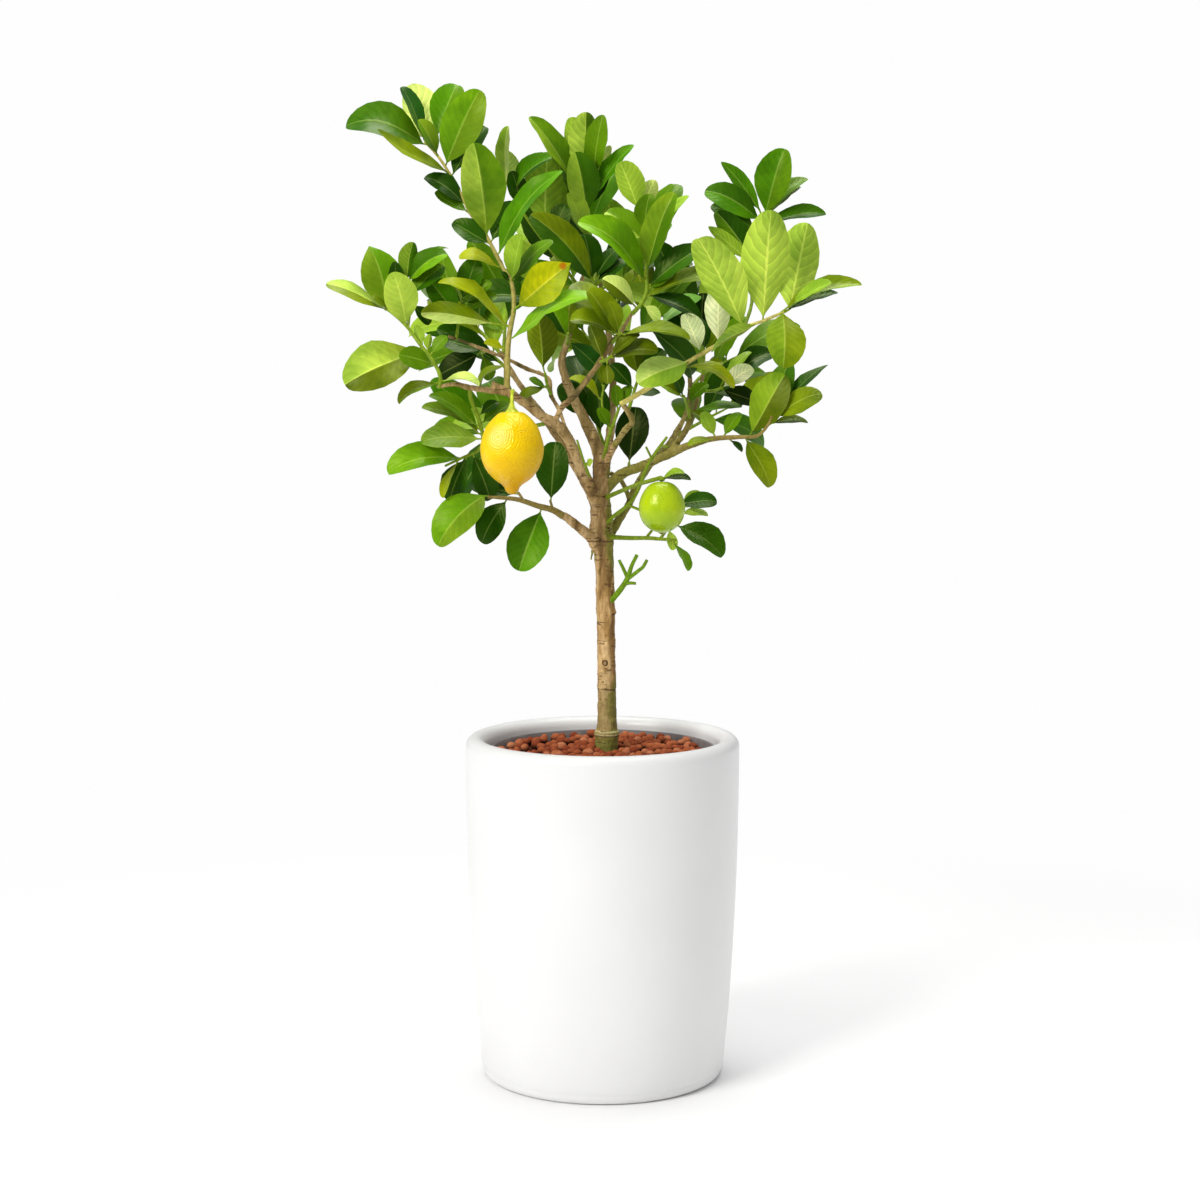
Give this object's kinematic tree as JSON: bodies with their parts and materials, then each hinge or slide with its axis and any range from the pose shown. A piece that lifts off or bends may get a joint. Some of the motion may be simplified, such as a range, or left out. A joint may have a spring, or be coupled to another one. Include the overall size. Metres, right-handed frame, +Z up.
{
  "type": "potted lemon tree",
  "caption": "Young lemon tree with ripe and unripe fruit, rooted under clay granules in a round white planter with a rolled rim, standing on its flat base.",
  "frame": {"origin": "middle of the planter's flat bottom, which the object stands on", "axes": "+Z up along the planter's axis, -Y towards the viewer of the picture, +X to the right"},
  "size_m": [0.509, 0.3499, 0.99],
  "materials": {
    "planter": "satin",
    "grow_pot": "matte",
    "clay": "matte",
    "bark": "matte",
    "leaf_green": "satin",
    "leaf_light": "satin",
    "leaf_dark": "satin",
    "leaf_yellow": "satin",
    "green_stem": "satin",
    "lemon": "gloss",
    "green_lemon": "gloss"
  },
  "bodies": {
    "root": {"planter": "planter", "grow_pot": "grow_pot", "clay_granules": "clay", "trunk": "bark", "lemon": "lemon", "lemon_stalk": "green_stem", "green_lemon": "green_lemon", "green_lemon_stalk": "green_stem", "thorny_twig": "green_stem", "twig_buds": "green_stem", "sprout": "green_stem", "yellow_leaf": "leaf_yellow", "spray_crown": "leaf_green", "spray_crown_back": "leaf_green", "spray_top": "leaf_green", "spray_centre_front": "leaf_green", "spray_right_centre": "leaf_light", "spray_left_tip": "leaf_green", "spray_left_inner": "leaf_green", "spray_left_shade": "leaf_dark", "spray_under_centre": "leaf_green", "spray_leader": "leaf_dark", "spray_centre_low": "leaf_green", "spray_centre_under": "leaf_dark", "spray_right_long": "leaf_light", "spray_right_top": "leaf_green", "spray_right_inner": "leaf_light", "spray_fork_end": "leaf_dark", "spray_right_low": "leaf_green", "spray_fork": "leaf_green", "spray_lower_right": "leaf_light", "spray_behind_lemon": "leaf_green", "spray_lower_left": "leaf_green", "spray_under_right": "leaf_dark", "spray_centre_twig": "leaf_dark", "spray_shade_left": "leaf_dark", "spray_shade_right": "leaf_dark", "spray_back_01": "leaf_green", "spray_back_02": "leaf_green", "spray_back_03": "leaf_green", "spray_back_04": "leaf_green", "spray_back_05": "leaf_green", "spray_back_06": "leaf_green", "spray_back_07": "leaf_green", "spray_back_08": "leaf_green", "spray_back_09": "leaf_green", "spray_back_10": "leaf_green", "spray_back_11": "leaf_green", "spray_back_12": "leaf_green", "spray_inner_1": "leaf_dark", "spray_inner_2": "leaf_dark", "spray_inner_3": "leaf_dark"}
  },
  "joints": []
}
